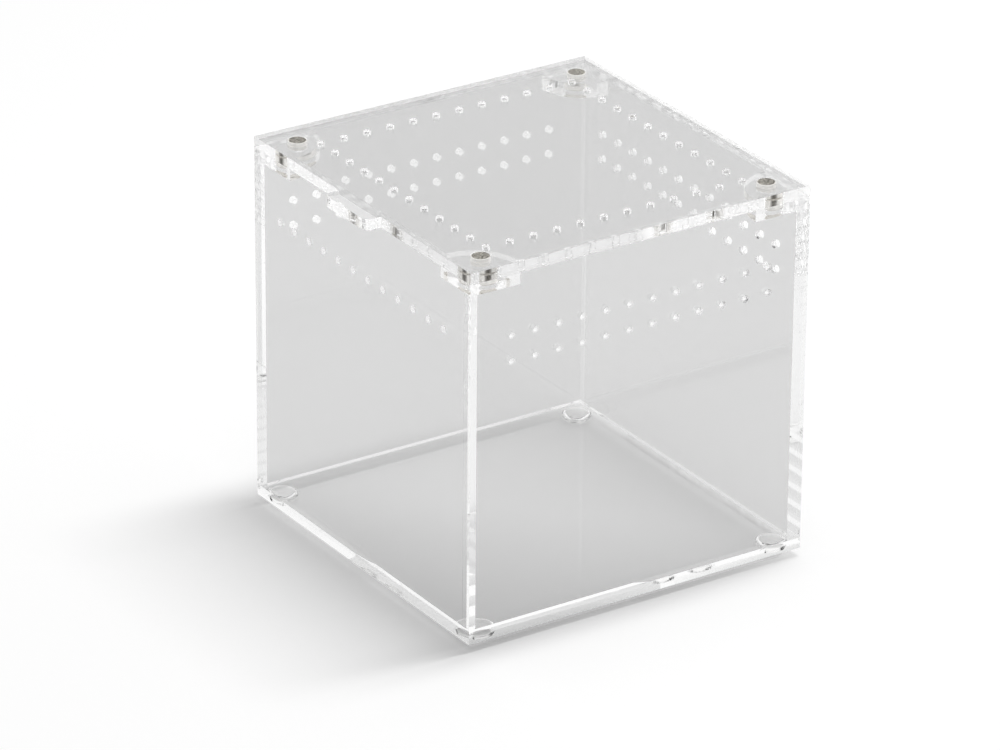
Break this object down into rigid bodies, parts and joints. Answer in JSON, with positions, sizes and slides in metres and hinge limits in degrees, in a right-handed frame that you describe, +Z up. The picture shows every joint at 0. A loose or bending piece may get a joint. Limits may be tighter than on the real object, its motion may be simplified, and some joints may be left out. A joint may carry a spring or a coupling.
{
  "type": "acrylic enclosure",
  "caption": "Clear acrylic box enclosure for small invertebrates, with rows of vent holes, rubber bumper feet and a lift-off lid held by magnets in its corners.",
  "frame": {"origin": "on the table, under the middle of the outline, finger tab included", "axes": "+X to the right along the front, +Y from the finger tab at the front to the back, +Z up"},
  "size_m": [0.1016, 0.1062, 0.1038],
  "materials": {
    "acrylic": "clear cast acrylic sheet, polished faces and bright laser-cut edges",
    "magnet": "bright nickel plating on a sintered magnet",
    "bumper": "clear glossy polyurethane"
  },
  "bodies": {
    "box": {"base_panel": "acrylic", "front_wall": "acrylic", "back_wall": "acrylic", "left_wall": "acrylic", "right_wall": "acrylic", "corner_block_front_left": "acrylic", "corner_block_front_right": "acrylic", "corner_block_back_right": "acrylic", "corner_block_back_left": "acrylic", "block_magnet_front_left": "magnet", "block_magnet_front_right": "magnet", "block_magnet_back_right": "magnet", "block_magnet_back_left": "magnet", "foot_front_left": "bumper", "foot_front_right": "bumper", "foot_back_right": "bumper", "foot_back_left": "bumper"},
    "lid": {"lid": "acrylic", "lid_magnet_front_left": "magnet", "lid_magnet_front_right": "magnet", "lid_magnet_back_right": "magnet", "lid_magnet_back_left": "magnet"}
  },
  "joints": [
    {"name": "lid_lift", "type": "slide", "parent": "box", "child": "lid", "axis": [0, 0, 1], "range_m": [0, 0.06]}
  ]
}
